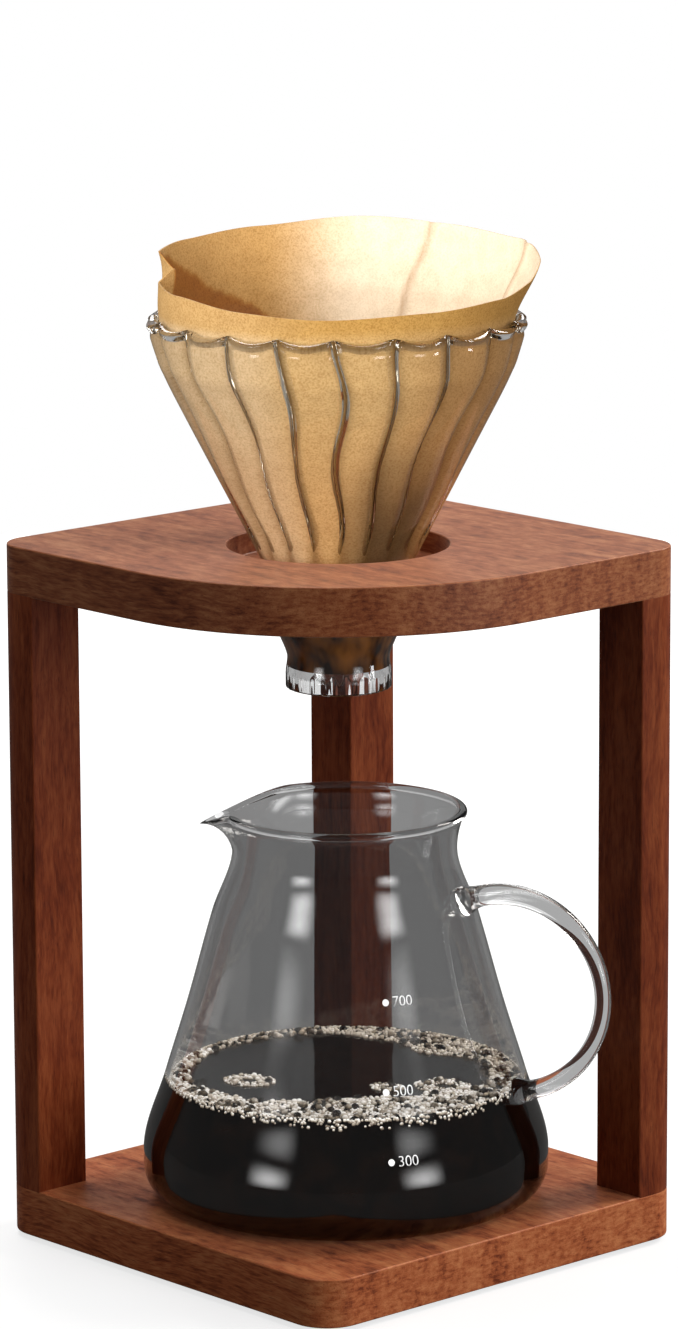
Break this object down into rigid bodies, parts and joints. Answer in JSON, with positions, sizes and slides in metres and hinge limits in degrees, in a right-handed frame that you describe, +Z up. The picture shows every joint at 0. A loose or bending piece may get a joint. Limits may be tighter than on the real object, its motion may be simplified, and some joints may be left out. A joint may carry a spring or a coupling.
{
  "type": "pour-over coffee stand",
  "caption": "Corner-on wooden pour-over stand: plates joined by square legs hold a fluted glass dripper with a paper filter above a glass carafe with a rod handle and pouring lip.",
  "frame": {"origin": "centre of the stand's square plan, on the floor under the anti-slip pads", "axes": "+Z up, -Y towards the front corner without a leg, +X to the right leg and the carafe's handle"},
  "size_m": [0.2022, 0.2022, 0.3095],
  "materials": {
    "stand_wood": "oiled reddish-brown hardwood, satin",
    "dowel_wood": "plain beech dowel",
    "screw_steel": "zinc-plated steel",
    "pad_rubber": "matt black rubber",
    "dripper_glass": "clear fluted glass",
    "kraft_paper": "unbleached kraft paper, wet at its lower part",
    "wet_grounds": "wet coffee grounds",
    "carafe_glass": "clear blown glass",
    "brewed_coffee": "black coffee with a ring of pale foam"
  },
  "bodies": {
    "stand": {"top_plate": "stand_wood", "base_plate": "stand_wood", "leg_left": "stand_wood", "leg_right": "stand_wood", "leg_rear": "stand_wood", "head_dowels_left": "dowel_wood", "head_dowels_right": "dowel_wood", "head_dowels_rear": "dowel_wood", "foot_dowel_left": "dowel_wood", "foot_dowel_right": "dowel_wood", "foot_dowel_rear": "dowel_wood", "base_screw_left": "screw_steel", "base_screw_right": "screw_steel", "base_screw_rear": "screw_steel", "foot_pad_left": "pad_rubber", "foot_pad_right": "pad_rubber", "foot_pad_rear": "pad_rubber", "foot_pad_front": "pad_rubber"},
    "dripper": {"dripper": "dripper_glass"},
    "filter": {"filter_paper": "kraft_paper", "coffee_grounds": "wet_grounds"},
    "carafe": {"carafe": "carafe_glass", "carafe_handle": "carafe_glass", "coffee": "brewed_coffee"}
  },
  "joints": [
    {"name": "dripper_lift", "type": "slide", "parent": "stand", "child": "dripper", "axis": [0, 0, 1], "range_m": [0, 0.12]},
    {"name": "filter_lift", "type": "slide", "parent": "dripper", "child": "filter", "axis": [0, 0, 1], "range_m": [0, 0.13]},
    {"name": "carafe_slide", "type": "slide", "parent": "stand", "child": "carafe", "axis": [0, -1, 0], "range_m": [0, 0.2]}
  ]
}
